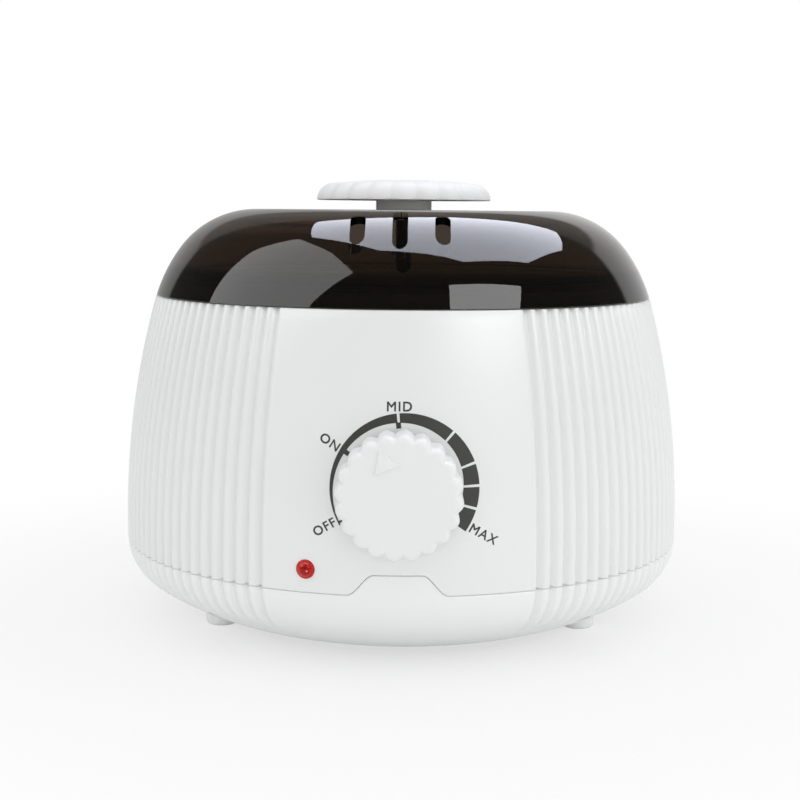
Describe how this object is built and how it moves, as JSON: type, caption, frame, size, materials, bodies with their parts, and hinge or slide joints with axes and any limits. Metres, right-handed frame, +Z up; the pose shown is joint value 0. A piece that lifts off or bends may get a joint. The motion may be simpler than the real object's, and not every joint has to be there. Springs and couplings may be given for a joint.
{
  "type": "wax warmer",
  "caption": "Round ribbed table-top wax warmer with a smoked lift-off lid, a removable metal pot in a heated well, a turning heat dial and an indicator lamp.",
  "frame": {"origin": "on the body's axis, at the level the feet stand on", "axes": "+Z up along the body's axis; the dial faces -Y"},
  "size_m": [0.185, 0.1986, 0.145],
  "materials": {
    "white_plastic": "moulded, satin gloss",
    "grey_plastic": "moulded, matt",
    "smoked_plastic": "clear smoked brown, high gloss",
    "black_plastic": "moulded",
    "pale_plastic": "moulded",
    "foot_rubber": "moulded, pale",
    "gland_rubber": "moulded, pale",
    "red_lens": "clear red",
    "spun_aluminium": "spun, brushed round the axis",
    "steel": "zinc plated",
    "heater_foil": "steel-faced mica band",
    "glass_fibre": "glass-fibre felt",
    "brass": "turned",
    "wire_cover": "silicone sleeve",
    "fuse_case": "drawn case"
  },
  "bodies": {
    "base": {"outer_housing": "white_plastic", "base_cover": "white_plastic", "foot_front_left": "foot_rubber", "foot_front_right": "foot_rubber", "foot_rear_left": "foot_rubber", "foot_rear_right": "foot_rubber", "base_screws": "steel", "heating_well": "spun_aluminium", "well_screws": "steel", "heater_band": "heater_foil", "heater_clamp": "steel", "clamp_screw": "steel", "insulation_wrap": "glass_fibre", "thermostat_body": "black_plastic", "thermostat_bush": "brass", "thermostat_nut": "steel", "thermostat_terminals": "brass", "indicator_lens": "red_lens", "lamp_retainer": "black_plastic", "lamp_wires": "wire_cover", "terminal_block": "pale_plastic", "supply_wire": "wire_cover", "heater_wire": "wire_cover", "fuse_wire_front": "wire_cover", "fuse_wire_rear": "wire_cover", "thermal_fuse": "fuse_case", "fuse_clip": "steel", "cord_gland": "gland_rubber"},
    "dial": {"dial_knob": "white_plastic", "thermostat_shaft": "brass"},
    "pot": {"wax_pot": "spun_aluminium"},
    "lid": {"lid_dome": "smoked_plastic", "lid_knob": "white_plastic", "lid_knob_stem": "grey_plastic", "lid_washer": "steel", "lid_stud": "steel", "lid_cap_nut": "black_plastic"}
  },
  "joints": [
    {"name": "dial_turn", "type": "hinge", "parent": "base", "child": "dial", "pos_m": [0, -0.1, 0.0567], "axis": [0, 1, 0], "range_deg": [-97, 142]},
    {"name": "pot_lift", "type": "slide", "parent": "base", "child": "pot", "axis": [0, 0, 1], "range_m": [0, 0.09]},
    {"name": "lid_lift", "type": "slide", "parent": "pot", "child": "lid", "axis": [0, 0, 1], "range_m": [0, 0.1]}
  ]
}
